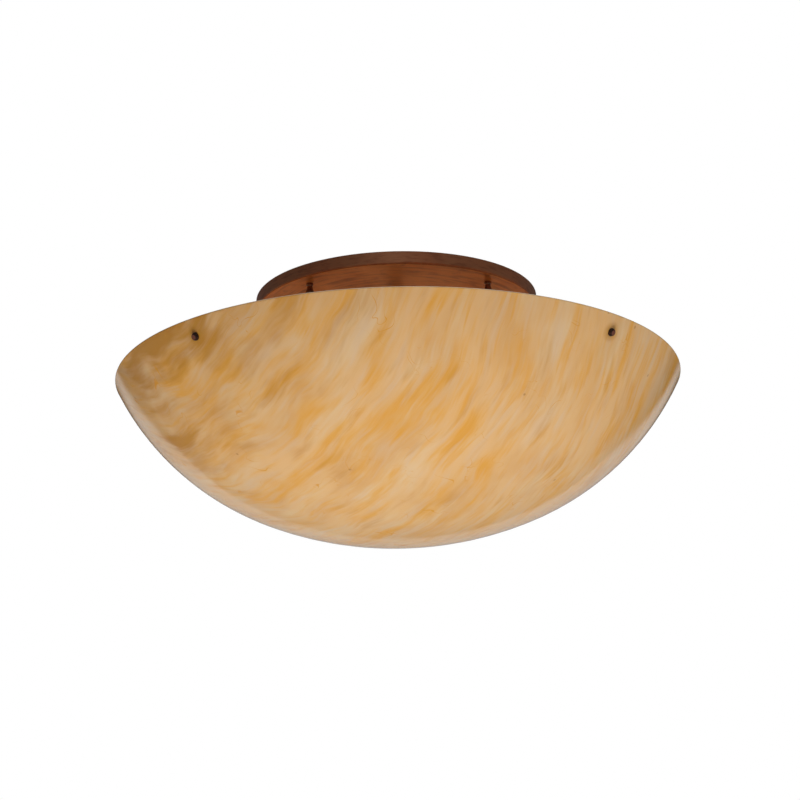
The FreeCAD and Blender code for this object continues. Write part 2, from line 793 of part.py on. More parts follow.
def socket_contact():
    """The brass centre contact, a disc with a springy crown."""
    disc_r, disc_z = 4.0, SHELL_FLOOR + 0.8
    return turned(
        (0, SHELL_FLOOR),
        (disc_r, SHELL_FLOOR),
        (disc_r, disc_z),
        (dome_middle(disc_r, disc_z, CONTACT_TOP), (0, CONTACT_TOP)),
    )


def bulb_base():
    """The bulb's brass base, tapered over its insulator to the tip contact."""
    foot = BULB_FOOT
    shell_low, top = foot + 5.0, foot + BULB_BASE_LENGTH
    return turned(
        (0, foot),
        (3.2, foot + 0.6),
        (4.5, foot + 1.2),
        (BULB_BASE_R - 1.6, shell_low - 1.0),
        (BULB_BASE_R, shell_low),
        (BULB_BASE_R, top),
        (BULB_NECK_R - BULB_GLASS - 0.1, top),
        (BULB_NECK_R - BULB_GLASS - 0.1, shell_low + 2.0),
        (0, shell_low + 2.0),
    )


def bulb_globe():
    """The frosted glass, blown thin: a straight neck, a hollow flare and a round head, all tangent."""
    neck_z = BULB_FOOT + BULB_BASE_LENGTH
    flare_z = neck_z + BULB_NECK_LENGTH
    head_z = BULB_FOOT + BULB_LENGTH - BULB_R
    rise = head_z - flare_z
    flare_r = (rise**2 + BULB_NECK_R**2 - BULB_R**2) / (2 * (BULB_R - BULB_NECK_R))
    flare_centre_r = BULB_NECK_R + flare_r
    lean = math.degrees(math.atan2(rise, flare_centre_r))

    def on_flare(angle, skin):
        reach = flare_r + skin
        return (flare_centre_r - reach * cosine(angle), flare_z + reach * sine(angle))

    def on_head(angle, skin):
        reach = BULB_R - skin
        return (reach * cosine(angle), head_z + reach * sine(angle))

    side = (90 - lean) / 2
    return turned(
        (BULB_NECK_R - BULB_GLASS, neck_z),
        (BULB_NECK_R, neck_z),
        on_flare(0, 0),
        (on_flare(lean / 2, 0), on_flare(lean, 0)),
        (on_head(side, 0), on_head(90, 0)),
        on_head(90, BULB_GLASS),
        (on_head(side, BULB_GLASS), on_head(-lean, BULB_GLASS)),
        (on_flare(lean / 2, BULB_GLASS), on_flare(0, BULB_GLASS)),
    )


# ---- Every node ----


def main():
    os.makedirs("parts", exist_ok=True)
    save("ceiling_plate", ceiling_plate())
    save("mounting_strap", mounting_strap())
    save("plate_screws", plate_screws())
    for number, x in enumerate((-PLATE_SCREW_X, PLATE_SCREW_X), 1):
        save("plate_cap_nut_%d" % number, plate_cap_nut(x))
    save("ground_screw", ground_screw())
    save("stem_pipe", stem_pipe())
    save("stem_ring", stem_ring())
    save("stem_sleeve", stem_sleeve())
    save("stem_nuts", stem_nuts())
    save("stem_finial", stem_finial())
    save("lead_bushing", lead_bushing())
    save("hanger_rods", on_arms(hanger_rod()))
    save("rod_top_nuts", on_arms(rod_top_nut()))
    save("rod_cap_nuts", on_arms(rod_cap_nut()))
    save("frame_hub_plate", frame_hub_plate())
    rivets = [rivet for radius in RIVET_RADII for rivet in on_arms(frame_rivet(radius))]
    save("frame_rivets", rivets)
    save("glass_bowl", glass_bowl())
    save("rim_washers", on_arms(rim_washer()))
    save("rim_bushings", on_arms(rim_bushing()))
    save("rim_pads", on_arms(rim_pad()))
    save("clinch_nuts", on_arms(clinch_nut()))
    for number, azimuth in enumerate(ARM_AZIMUTHS, 1):
        save("rod_collar_%d" % number, around(rod_collar(), azimuth))
        save("rod_sleeve_%d" % number, around(rod_sleeve(), azimuth))
        save("frame_arm_%d" % number, around(frame_arm(), azimuth))
        save("rim_screw_%d" % number, around(rim_screw(), azimuth))
    save("cluster_cup", cluster_cup())
    save("cluster_lid", cluster_lid())
    save("socket_nipples", [socket_nipple(azimuth) for azimuth in LAMP_AZIMUTHS])
    save("socket_contacts", [on_lamp(socket_contact(), azimuth) for azimuth in LAMP_AZIMUTHS])
    save("socket_cores", [on_lamp(socket_core(), azimuth) for azimuth in LAMP_AZIMUTHS])
    for number, azimuth in enumerate(LAMP_AZIMUTHS, 1):
        save("socket_shell_%d" % number, on_lamp(socket_shell(), azimuth))
        save("screw_shell_%d" % number, on_lamp(socket_screw_shell(), azimuth))
        save("bulb_base_%d" % number, on_lamp(bulb_base(), azimuth))
        save("bulb_globe_%d" % number, on_lamp(bulb_globe(), azimuth))
    print("bowl depth", round(RIM_Z - on_bottom(0)[1], 1), "lowest", round(on_bottom(0)[1], 1))


main()
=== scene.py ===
import math

import bpy
from mathutils import Matrix, Vector


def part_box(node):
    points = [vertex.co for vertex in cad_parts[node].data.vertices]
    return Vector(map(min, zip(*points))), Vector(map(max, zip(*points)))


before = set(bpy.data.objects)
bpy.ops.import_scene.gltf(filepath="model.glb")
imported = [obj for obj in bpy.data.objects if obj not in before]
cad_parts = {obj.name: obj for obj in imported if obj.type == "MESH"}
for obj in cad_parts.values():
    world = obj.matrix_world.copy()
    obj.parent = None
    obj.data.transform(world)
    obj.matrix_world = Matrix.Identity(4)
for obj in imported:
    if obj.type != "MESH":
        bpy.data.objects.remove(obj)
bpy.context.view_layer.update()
bpy.ops.object.select_all(action="DESELECT")

# Camera: a long lens below the light, a little to the left of its front, looking up at the bowl.
# It is tilted so that the right end of the rim sits slightly higher in the picture.
RIM_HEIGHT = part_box("glass_bowl")[1].z
CAMERA_DISTANCE = 3.019
CAMERA_AZIMUTH = math.radians(-1.9)
CAMERA_ELEVATION = math.radians(-17.99)
CAMERA_ROLL = math.radians(1.217)
CAMERA_LENS_MM = 125.8
SENSOR_MM = 36.0
FRAME_PX = 800
RIM_CENTRE_PX = (398.05, 382.13)


def away(azimuth, elevation):
    """The direction from the light to a place given by azimuth (0 is its front) and elevation."""
    level = math.cos(elevation)
    return Vector((math.sin(azimuth) * level, -math.cos(azimuth) * level, math.sin(elevation)))


def aim_camera():
    focal_px = CAMERA_LENS_MM / SENSOR_MM * FRAME_PX
    back = away(CAMERA_AZIMUTH, CAMERA_ELEVATION)
    place = Vector((0, 0, RIM_HEIGHT)) + CAMERA_DISTANCE * back
    right = Vector((0, 0, 1)).cross(back).normalized()
    up = back.cross(right)
    right, up = (
        math.cos(CAMERA_ROLL) * right - math.sin(CAMERA_ROLL) * up,
        math.sin(CAMERA_ROLL) * right + math.cos(CAMERA_ROLL) * up,
    )
    across = (RIM_CENTRE_PX[0] - FRAME_PX / 2) / focal_px
    upward = (FRAME_PX / 2 - RIM_CENTRE_PX[1]) / focal_px
    back = (back + across * right + upward * up).normalized()
    right = up.cross(back).normalized()
    up = back.cross(right)
    data = bpy.data.cameras.new("camera")
    data.lens = CAMERA_LENS_MM
    data.sensor_width = SENSOR_MM
    data.clip_start = 0.1
    camera = bpy.data.objects.new("camera", data)
    bpy.context.collection.objects.link(camera)
    turn = Matrix((right, up, back)).transposed().to_4x4()
    camera.matrix_world = Matrix.Translation(place) @ turn
    bpy.context.scene.camera = camera


aim_camera()

# Studio: a white room with a pale floor. Glass and metal mirror a low white screen behind the
# light, brightest at its two ends, with a dark gap beside it, a pale table low on the left, a dim
# room, and a panel high in front. Angles run from straight behind the light, the panel's from front.
SCREEN_HALF_ANGLE = math.radians(29)
SCREEN_EDGE = (-0.06, 0.05)
SCREEN_TOP = 0.12
SCREEN_MIDDLE = 0.38
SCREEN_ENDS = 0.56
GAP_HALF_ANGLE = math.radians(41)
GAP_EDGE = (-0.06, 0.10)
GAP_REFLECTION = 0.04
TABLE_START = math.radians(25)
TABLE_EDGE = 0.2
TABLE_TOP = -0.26
TABLE_TOP_EDGE = 0.12
TABLE_REFLECTION = 0.75
PANEL_HALF_ANGLE = math.radians(30)
PANEL_EDGE = 0.3
PANEL_REFLECTION = 0.45
LOW_ROOM_REFLECTION = 0.22
HIGH_ROOM_REFLECTION = 0.08
AMBIENT = 0.25
FLOOR_SIZE = 30
FLOOR_HEIGHT = -3.4
FLOOR_GLOW = 0.6


def linear(code):
    """An sRGB hex colour as linear red, green, blue and alpha."""
    parts = [int(code[k:k + 2], 16) / 255 for k in (1, 3, 5)]
    parts = [c / 12.92 if c <= 0.04045 else ((c + 0.055) / 1.055) ** 2.4 for c in parts]
    return (*parts, 1.0)


def add(tree, kind, settings=None, **inputs):
    """Adds one node, sets its properties, and sets or links its inputs by name or number."""
    node = tree.nodes.new(kind)
    for name, value in (settings or {}).items():
        setattr(node, name, value)
    for name, value in inputs.items():
        key = int(name[1:]) if name[0] == "_" and name[1:].isdigit() else name.replace("_", " ")
        socket = node.inputs[key]
        if isinstance(value, bpy.types.NodeSocket):
            tree.links.new(value, socket)
        else:
            socket.default_value = value
    return node


def light_room():
    """What the eye sees, what glossy surfaces mirror, and the even light from all sides."""
    world = bpy.data.worlds.new("white_room")
    world.use_nodes = True
    bpy.context.scene.world = world
    tree = world.node_tree
    tree.nodes.clear()
    direction = add(tree, "ShaderNodeTexCoord").outputs["Generated"]
    parts = add(tree, "ShaderNodeSeparateXYZ", _0=direction)
    sideways = add(tree, "ShaderNodeMath", {"operation": "ARCTAN2"},
                   _0=parts.outputs["X"], _1=parts.outputs["Y"])
    off_axis = add(tree, "ShaderNodeMath", {"operation": "ABSOLUTE"}, _0=sideways.outputs[0])
    screen = add(tree, "ShaderNodeMapRange", Value=off_axis.outputs[0],
                 From_Min=0.0, From_Max=SCREEN_HALF_ANGLE,
                 To_Min=SCREEN_MIDDLE, To_Max=SCREEN_ENDS)
    past_end = add(tree, "ShaderNodeMapRange", {"interpolation_type": "SMOOTHSTEP"},
                   Value=off_axis.outputs[0],
                   From_Min=SCREEN_HALF_ANGLE + SCREEN_EDGE[0],
                   From_Max=SCREEN_HALF_ANGLE + SCREEN_EDGE[1])
    past_gap = add(tree, "ShaderNodeMapRange", {"interpolation_type": "SMOOTHSTEP"},
                   Value=off_axis.outputs[0],
                   From_Min=GAP_HALF_ANGLE + GAP_EDGE[0], From_Max=GAP_HALF_ANGLE + GAP_EDGE[1])
    beside = add(tree, "ShaderNodeMix", {"data_type": "FLOAT"},
                 _0=past_gap.outputs[0], _2=GAP_REFLECTION, _3=LOW_ROOM_REFLECTION)
    low = add(tree, "ShaderNodeMix", {"data_type": "FLOAT"},
              _0=past_end.outputs[0], _2=screen.outputs[0], _3=beside.outputs[0])
    on_left = add(tree, "ShaderNodeMapRange", {"interpolation_type": "SMOOTHSTEP"},
                  Value=sideways.outputs[0],
                  From_Min=-TABLE_START, From_Max=-TABLE_START - TABLE_EDGE)
    down = add(tree, "ShaderNodeMapRange", {"interpolation_type": "SMOOTHSTEP"},
               Value=parts.outputs["Z"], From_Min=TABLE_TOP, From_Max=TABLE_TOP - TABLE_TOP_EDGE)
    on_table = add(tree, "ShaderNodeMath", {"operation": "MULTIPLY"},
                   _0=on_left.outputs[0], _1=down.outputs[0])
    low = add(tree, "ShaderNodeMix", {"data_type": "FLOAT"},
              _0=on_table.outputs[0], _2=low.outputs[0], _3=TABLE_REFLECTION)
    on_panel = add(tree, "ShaderNodeMapRange", {"interpolation_type": "SMOOTHSTEP"},
                   Value=off_axis.outputs[0], From_Min=math.pi - PANEL_HALF_ANGLE,
                   From_Max=math.pi - PANEL_HALF_ANGLE + PANEL_EDGE)
    high = add(tree, "ShaderNodeMix", {"data_type": "FLOAT"},
               _0=on_panel.outputs[0], _2=HIGH_ROOM_REFLECTION, _3=PANEL_REFLECTION)
    high_up = add(tree, "ShaderNodeMapRange", {"interpolation_type": "SMOOTHSTEP"},
                  Value=parts.outputs["Z"], From_Min=SCREEN_TOP, From_Max=2 * SCREEN_TOP)
    mirrored = add(tree, "ShaderNodeMix", {"data_type": "FLOAT"},
                   _0=high_up.outputs[0], _2=low.outputs[0], _3=high.outputs[0])
    path = add(tree, "ShaderNodeLightPath")
    straight = add(tree, "ShaderNodeMath", {"operation": "MAXIMUM"},
                   _0=path.outputs["Is Camera Ray"], _1=path.outputs["Is Transmission Ray"])
    indirect = add(tree, "ShaderNodeMix", {"data_type": "FLOAT"},
                   _0=path.outputs["Is Glossy Ray"], _2=AMBIENT, _3=mirrored.outputs[0])
    strength = add(tree, "ShaderNodeMix", {"data_type": "FLOAT"},
                   _0=straight.outputs[0], _2=indirect.outputs[0], _3=1.0)
    shine = add(tree, "ShaderNodeBackground", Color=(1, 1, 1, 1), Strength=strength.outputs[0])
    add(tree, "ShaderNodeOutputWorld", Surface=shine.outputs[0])


def soft_lamp(name, azimuth, elevation, distance, size, power):
    """A square soft lamp that faces the bowl. Its direction from the bowl is in degrees."""
    data = bpy.data.lights.new(name, "AREA")
    data.shape = "SQUARE"
    data.size = size
    data.energy = power
    back = away(math.radians(azimuth), math.radians(elevation))
    lamp = bpy.data.objects.new(name, data)
    bpy.context.collection.objects.link(lamp)
    lamp.location = Vector((0, 0, RIM_HEIGHT)) + back * distance
    lamp.rotation_euler = back.to_track_quat("Z", "Y").to_euler()
    lamp.visible_glossy = False
    lamp.visible_camera = False


def start_material(name):
    """A new material: its node tree, its shader and the object coordinates, in metres."""
    material = bpy.data.materials.new(name)
    material.use_nodes = True
    tree = material.node_tree
    place = add(tree, "ShaderNodeTexCoord").outputs["Object"]
    return material, tree, tree.nodes["Principled BSDF"], place


def lay_floor():
    """A pale floor, lightened for the eye alone, so that it adds no light to the object."""
    bpy.ops.mesh.primitive_plane_add(size=FLOOR_SIZE, location=(0, 0, FLOOR_HEIGHT))
    floor = bpy.context.object
    floor.name = "floor"
    paint, tree, shader, place = start_material("pale_floor_paint")
    shader.inputs["Base Color"].default_value = linear("#E9E8E6")
    shader.inputs["Roughness"].default_value = 0.8
    seen = add(tree, "ShaderNodeLightPath").outputs["Is Camera Ray"]
    glow = add(tree, "ShaderNodeMath", {"operation": "MULTIPLY"}, _0=seen, _1=FLOOR_GLOW)
    tree.links.new(glow.outputs[0], shader.inputs["Emission Strength"])
    shader.inputs["Emission Color"].default_value = (1, 1, 1, 1)
    floor.data.materials.append(paint)


light_room()
lay_floor()
soft_lamp("low_front_lamp", azimuth=-12, elevation=-74, distance=3.0, size=1.6, power=69)
soft_lamp("level_side_lamp", azimuth=44, elevation=10, distance=3.4, size=0.8, power=24)
soft_lamp("high_back_lamp", azimuth=172, elevation=44, distance=3.4, size=1.8, power=26)
soft_lamp("high_front_lamp", azimuth=0, elevation=74, distance=3.2, size=1.2, power=24)

bpy.context.scene.view_settings.view_transform = "Standard"

# Ceiling plate: a shallow pan spun from steel sheet, plated and darkened to antique copper, and
# lacquered. The spinning leaves fine rings, which the darkening settles in, and a mottled tone. The
# rings are drawn wider than the real ones, as coarse as they need to show.
# Painted light and shade: the underside is painted brighter and the side wall darker, by which way
# each face points.
COPPER_UNDERSIDE_PAINTED_LIGHT = linear("#F0A258")
COPPER_DULL = linear("#B05527")
COPPER_DARK = linear("#6E331A")
COPPER_SIDE_PAINTED_SHADE = linear("#A66C4A")
COPPER_BACK = linear("#9A5A38")
MOTTLE_MM = 70
STAIN_MM = 14
FLAT_RING_MM = 5.0
SIDE_RING_MM = 2.2
FLAT_RING_RUN_MM = 45
SIDE_RING_RUN_MM = 15
GROOVE_MM = 0.04

# How far up the normal points, from -1 to 1, where one tone or kind of ring gives way to the next
# The side wall's darker tone below is painted shade.
SIDE_PAINTED_SHADE_TONE = (-0.995, -0.90)
SIDE_RINGS = (-0.9, -0.5)
BACK_TONE = (0.3, 0.8)


def lay_over(tree, under, colour, pattern, low, high, most):
    """Lays a colour over another where a pattern rises from low to high, by most at its highest."""
    share = add(tree, "ShaderNodeMapRange", {"interpolation_type": "SMOOTHSTEP"},
                Value=pattern, From_Min=low, From_Max=high, To_Min=0.0, To_Max=most)
    return add(tree, "ShaderNodeMix", {"data_type": "RGBA"},
               _0=share.outputs[0], _6=under, _7=colour).outputs[2]


def cloud(tree, place, size_mm, detail=2.0):
    """Soft patches of about one size."""
    return add(tree, "ShaderNodeTexNoise", Vector=place, Scale=1000 / size_mm, Detail=detail,
               Roughness=0.5).outputs["Fac"]


def turned_rings(tree, place, spacing_mm, run_mm):
    """Fine rings about the Z axis, on flat faces by radius and on upright ones by height."""
    flat = add(tree, "ShaderNodeVectorMath", {"operation": "MULTIPLY"}, _0=place, _1=(1, 1, 0))
    radius = add(tree, "ShaderNodeVectorMath", {"operation": "LENGTH"}, _0=flat.outputs[0])
    parts = add(tree, "ShaderNodeSeparateXYZ", _0=place)
    level = add(tree, "ShaderNodeMath", {"operation": "ADD"},
                _0=radius.outputs["Value"], _1=parts.outputs["Z"])
    run = add(tree, "ShaderNodeVectorMath", {"operation": "SCALE"}, _0=flat.outputs[0],
              Scale=1000 / run_mm)
    across = add(tree, "ShaderNodeMath", {"operation": "MULTIPLY"},
                 _0=level.outputs[0], _1=1000 / spacing_mm)
    lifted = add(tree, "ShaderNodeCombineXYZ", Z=across.outputs[0])
    spread = add(tree, "ShaderNodeVectorMath", {"operation": "ADD"},
                 _0=run.outputs[0], _1=lifted.outputs[0])
    return add(tree, "ShaderNodeTexNoise", Vector=spread.outputs[0], Scale=1.0, Detail=2.0,
               Roughness=0.6).outputs["Fac"]


def antique_copper():
    """Painted light on the underside, painted shade on the side wall; plainer inside the pan."""
    material, tree, shader, place = start_material("antique_copper_plate")
    flat_rings = turned_rings(tree, place, FLAT_RING_MM, FLAT_RING_RUN_MM)
    side_rings = turned_rings(tree, place, SIDE_RING_MM, SIDE_RING_RUN_MM)
    mottle = cloud(tree, place, MOTTLE_MM, 4.0)
    stain = cloud(tree, place, STAIN_MM, 3.0)
    normal = add(tree, "ShaderNodeNewGeometry").outputs["Normal"]
    facing_up = add(tree, "ShaderNodeSeparateXYZ", _0=normal).outputs["Z"]
    on_side = add(tree, "ShaderNodeMapRange", Value=facing_up,
                  From_Min=SIDE_RINGS[0], From_Max=SIDE_RINGS[1])
    rings = add(tree, "ShaderNodeMix", {"data_type": "FLOAT"},
                _0=on_side.outputs[0], _2=flat_rings, _3=side_rings).outputs[0]
    # Painted shade on the side wall, laid over the painted-light colour of the underside.
    colour = lay_over(tree, COPPER_UNDERSIDE_PAINTED_LIGHT, COPPER_SIDE_PAINTED_SHADE, facing_up, *SIDE_PAINTED_SHADE_TONE, 1.0)
    colour = lay_over(tree, colour, COPPER_BACK, facing_up, *BACK_TONE, 1.0)
    colour = lay_over(tree, colour, COPPER_DULL, mottle, 0.40, 0.66, 0.22)
    colour = lay_over(tree, colour, COPPER_DARK, stain, 0.52, 0.80, 0.34)
    colour = lay_over(tree, colour, COPPER_DARK, rings, 0.44, 0.72, 0.40)
    tree.links.new(colour, shader.inputs["Base Color"])
    dulled = add(tree, "ShaderNodeMapRange", Value=mottle, From_Min=0.3, From_Max=0.7,
                 To_Min=0.36, To_Max=0.50)
    tree.links.new(dulled.outputs[0], shader.inputs["Roughness"])
    grooves = add(tree, "ShaderNodeBump", Strength=0.25, Distance=GROOVE_MM / 1000, Height=rings)
    tree.links.new(grooves.outputs[0], shader.inputs["Normal"])
    shader.inputs["Metallic"].default_value = 0.65
    shader.inputs["Coat Weight"].default_value = 0.15
    shader.inputs["Coat Roughness"].default_value = 0.35
    return material


def dress(material, *nodes):
    """Gives CAD nodes their finish."""
    for name in nodes:
        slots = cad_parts[name].data.materials
        slots.clear()
        slots.append(material)


dress(antique_copper(), "ceiling_plate")

# Strap and its screws: a flat steel strap for the outlet box, with two screws that come down
# through the plate and a green ground screw. Steel pressed and cut, zinc plated, so cool and a
# little cloudy.
ZINC_LIT = linear("#C9CBCA")
ZINC_DULL = linear("#9C9F9F")
ZINC_TINT = linear("#BDB392")
GROUND_GREEN = linear("#2B7A45")
GREEN_WORN = linear("#8FA392")
BLOOM_MM = 14
TINT_MM = 33
BRUSH_RUN_MM = 25
BRUSH_LINES_PER_M = 900


def zinc_plate():
    material, tree, shader, place = start_material("zinc_plated_steel")
    bloom = cloud(tree, place, BLOOM_MM, 3.0)
    tint = cloud(tree, place, TINT_MM)
    brushed = add(tree, "ShaderNodeMapping", Vector=place,
                  Scale=(1000 / BRUSH_RUN_MM, BRUSH_LINES_PER_M, BRUSH_LINES_PER_M))
    lines = add(tree, "ShaderNodeTexNoise", Vector=brushed.outputs[0], Scale=1.0, Detail=2.0)
    colour = lay_over(tree, ZINC_LIT, ZINC_DULL, bloom, 0.40, 0.72, 0.55)
    colour = lay_over(tree, colour, ZINC_TINT, tint, 0.48, 0.75, 0.40)
    colour = lay_over(tree, colour, ZINC_DULL, lines.outputs["Fac"], 0.50, 0.75, 0.35)
    tree.links.new(colour, shader.inputs["Base Color"])
    dulled = add(tree, "ShaderNodeMapRange", Value=bloom, From_Min=0.3, From_Max=0.7,
                 To_Min=0.26, To_Max=0.44)
    tree.links.new(dulled.outputs[0], shader.inputs["Roughness"])
    shader.inputs["Metallic"].default_value = 1.0
    return material


def green_dye():
    material, tree, shader, place = start_material("green_dyed_zinc")
    worn = cloud(tree, place, 3)
    colour = lay_over(tree, GROUND_GREEN, GREEN_WORN, worn, 0.55, 0.80, 0.50)
    tree.links.new(colour, shader.inputs["Base Color"])
    shader.inputs["Metallic"].default_value = 0.7
    shader.inputs["Roughness"].default_value = 0.32
    return material


zinc = zinc_plate()
dress(zinc, "mounting_strap", "plate_screws")
dress(green_dye(), "ground_screw")

# Bronze trim: collars, cover tubes, cap nuts and finial, turned from steel bar, plated, darkened
# nearly black and oiled, and rubbed back to a warmer brown in patches. The rim screws are lighter
# brown on the crown's face that looks straight out. The tool's marks are drawn coarser than real
# ones, so that they show.
BRONZE_DARK = linear("#2A1A13")
BRONZE_WARM = linear("#80604E")
CROWN_BROWN = linear("#7A4838")
RUBBED_MM = 6
TOOL_MARK_MM = 0.5
TOOL_MARK_RUN_MM = 60
CROWN_STAIN_MM = 2.5
RIM_SCREW_DIP = math.radians(29.8)


def oiled_bronze():
    material, tree, shader, place = start_material("oiled_bronze_on_steel")
    rubbed = cloud(tree, place, RUBBED_MM, 3.0)
    marks = turned_rings(tree, place, TOOL_MARK_MM, TOOL_MARK_RUN_MM)
    colour = lay_over(tree, BRONZE_WARM, BRONZE_DARK, rubbed, 0.38, 0.80, 0.50)
    colour = lay_over(tree, colour, BRONZE_DARK, marks, 0.50, 0.80, 0.30)
    tree.links.new(colour, shader.inputs["Base Color"])
    dulled = add(tree, "ShaderNodeMapRange", Value=rubbed, From_Min=0.3, From_Max=0.7,
                 To_Min=0.18, To_Max=0.32)
    tree.links.new(dulled.outputs[0], shader.inputs["Roughness"])
    shader.inputs["Metallic"].default_value = 0.85
    return material


def browned_screw():
    """The rim screws: dark on the flange, lighter brown on the crown's face that looks straight out.
    """
    material, tree, shader, place = start_material("browned_screw_steel")
    level = math.cos(RIM_SCREW_DIP) / math.sqrt(2)
    outward = (level, level, math.sin(RIM_SCREW_DIP))
    normal = add(tree, "ShaderNodeNewGeometry").outputs["Normal"]
    folded = add(tree, "ShaderNodeVectorMath", {"operation": "ABSOLUTE"}, _0=normal)
    facing = add(tree, "ShaderNodeVectorMath", {"operation": "DOT_PRODUCT"},
                 _0=folded.outputs[0], _1=outward)
    stained = cloud(tree, place, CROWN_STAIN_MM)
    colour = lay_over(tree, BRONZE_DARK, CROWN_BROWN, facing.outputs["Value"], 0.96, 0.999, 0.95)
    colour = lay_over(tree, colour, BRONZE_DARK, stained, 0.50, 0.85, 0.60)
    tree.links.new(colour, shader.inputs["Base Color"])
    shader.inputs["Metallic"].default_value = 0.3
    shader.inputs["Roughness"].default_value = 0.3
    return material


EACH_OF_FOUR = range(1, 5)
bronze = oiled_bronze()
screw_brown = browned_screw()
dress(bronze, "plate_cap_nut_1", "plate_cap_nut_2", "stem_ring", "stem_sleeve", "stem_finial",
      "rod_cap_nuts")
for number in EACH_OF_FOUR:
    dress(bronze, "rod_collar_%d" % number, "rod_sleeve_%d" % number)
    dress(screw_brown, "rim_screw_%d" % number)

# Rods, stem pipe and nuts: threaded and hexagon steel, zinc plated, mostly covered by the trim. A
# black moulded bushing in the pipe's top end keeps its edge off the leads.
MOULD_GRAIN_MM = 0.8
MOULD_GRAIN_DEPTH_MM = 0.03
MOULD_CLOUD_MM = 12


def moulded_plastic(name, colour_code, roughness):
    """A moulded plastic or rubber with the grain of its mould, drawn as coarse as it shows."""
    material, tree, shader, place = start_material(name)
    base = linear(colour_code)
    grain = cloud(tree, place, MOULD_GRAIN_MM)
    shade = tuple(0.72 * c for c in base[:3]) + (1.0,)
    clouded = cloud(tree, place, MOULD_CLOUD_MM, 3.0)
    colour = lay_over(tree, base, shade, clouded, 0.40, 0.75, 0.8)
    tree.links.new(colour, shader.inputs["Base Color"])
    shader.inputs["Roughness"].default_value = roughness
    skin = add(tree, "ShaderNodeBump", Strength=0.3, Distance=MOULD_GRAIN_DEPTH_MM / 1000,
               Height=grain)
    tree.links.new(skin.outputs[0], shader.inputs["Normal"])
    return material


dress(zinc, "stem_pipe", "stem_nuts", "hanger_rods", "rod_top_nuts", "clinch_nuts",
      "socket_nipples")
dress(moulded_plastic("black_moulded_nylon", "#1B1A19", 0.5), "lead_bushing")

# Frame and lamp cup: flat steel bars bent and riveted to a hub plate, with a spun cup under it, all
# powder coated dark bronze. The coat lies slightly rippled, like the peel of an orange, with specks
# of a paler grain, both drawn as coarse as they need to show.
COAT_COLOUR = linear("#4B382D")
COAT_SPECK = linear("#7A6250")
COAT_SHADE = linear("#3A2A21")
COAT_SPECK_MM = 0.9
COAT_SHADE_MM = 45
PEEL_MM = 1.6
PEEL_DEPTH_MM = 0.08


def powder_coat():
    material, tree, shader, place = start_material("bronze_powder_coat")
    specks = add(tree, "ShaderNodeTexNoise", Vector=place, Scale=1000 / COAT_SPECK_MM, Detail=1.0)
    colour = lay_over(tree, COAT_COLOUR, COAT_SPECK, specks.outputs["Fac"], 0.58, 0.72, 0.5)
    shaded = cloud(tree, place, COAT_SHADE_MM)
    colour = lay_over(tree, colour, COAT_SHADE, shaded, 0.40, 0.70, 0.5)
    tree.links.new(colour, shader.inputs["Base Color"])
    peel = cloud(tree, place, PEEL_MM, 1.0)
    ripple = add(tree, "ShaderNodeBump", Strength=0.5, Distance=PEEL_DEPTH_MM / 1000, Height=peel)
    tree.links.new(ripple.outputs[0], shader.inputs["Normal"])
    shader.inputs["Roughness"].default_value = 0.42
    shader.inputs["IOR"].default_value = 1.5
    return material


coat = powder_coat()
dress(coat, "frame_hub_plate", "frame_rivets", "cluster_cup", "cluster_lid")
for number in EACH_OF_FOUR:
    dress(coat, "frame_arm_%d" % number)

# Glass bowl: streaky opalescent sheet glass, cream with amber and a little ochre drawn out in one
# direction while it was rolled hot. A flat round blank of it was slumped into a mould, so the
# streaks run straight across the blank and turn up with the wall. The rim is ground level.
RIM_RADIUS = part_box("glass_bowl")[1].x
BLANK_GROWTH = 0.212
STREAK_TURN = math.radians(-60)
NOISE_SWING = 0.25
SWAY_MM = 9
SWAY_RUN_MM = 120
WAVER_MM = 1.5
WAVER_RUN_MM = 45
FEATHER_MM = 3
HOOK_MM = 26
HOOK_LINE = 0.05
HOOK_CLOUD_MM = 50
SCREW_SHADE_HALO_MM = 13
SPECK_MM = 1.6
SPECK_SPREAD_MM = 170
GROUND_MM = (1.2, 0.4)
GLASS_CREAM = linear("#DDB27B")
GLASS_MILK = linear("#DCBF95")
GLASS_TAN = linear("#D2A163")
GLASS_AMBER = linear("#DD9E34")
GLASS_DEEP_AMBER = linear("#D59220")
GLASS_WISP = linear("#D2B596")
GLASS_OCHRE = linear("#BC8126")
GLASS_SPECK = linear("#8E5A2E")
GLASS_GROUND_RIM_AND_HIGHLIGHT = linear("#E8DCCB")

# Length and width of each kind of streak in mm, and the place in the noise that it is taken from
HAZE_STREAKS = (130, 60, 12.0)
MILK_STREAKS = (100, 38, 31.0)
AMBER_STREAKS = (100, 28, 3.1)
AMBER_LINES = (65, 9, 44.0)
BROWN_STREAKS = (80, 22, 9.3)
OCHRE_STREAKS = (90, 20, 21.0)
WISP_STREAKS = (80, 12, 12.4)
STRANDS_MM = (60, 8)
HAIRS_MM = (36, 2.4)
HAIR_SHARE = 0.4

# Where a colour gathers on the blank: centre x and y, length along the streaks and width, in mm
GATHER_FADE = 1.3
OCHRE_GATHERS = (
    (-300, -210, 340, 110), (-322, -130, 120, 90), (-300, -168, 90, 44), (-250, -258, 120, 84),
    (-262, -80, 150, 50),
)
BROWN_GATHERS = (
    (-238, -104, 260, 110), (-176, -261, 90, 50), (-149, -236, 70, 44), (-213, -168, 90, 46),
    (-226, -262, 130, 60), (-140, -330, 150, 60), (-60, -345, 130, 50),
)
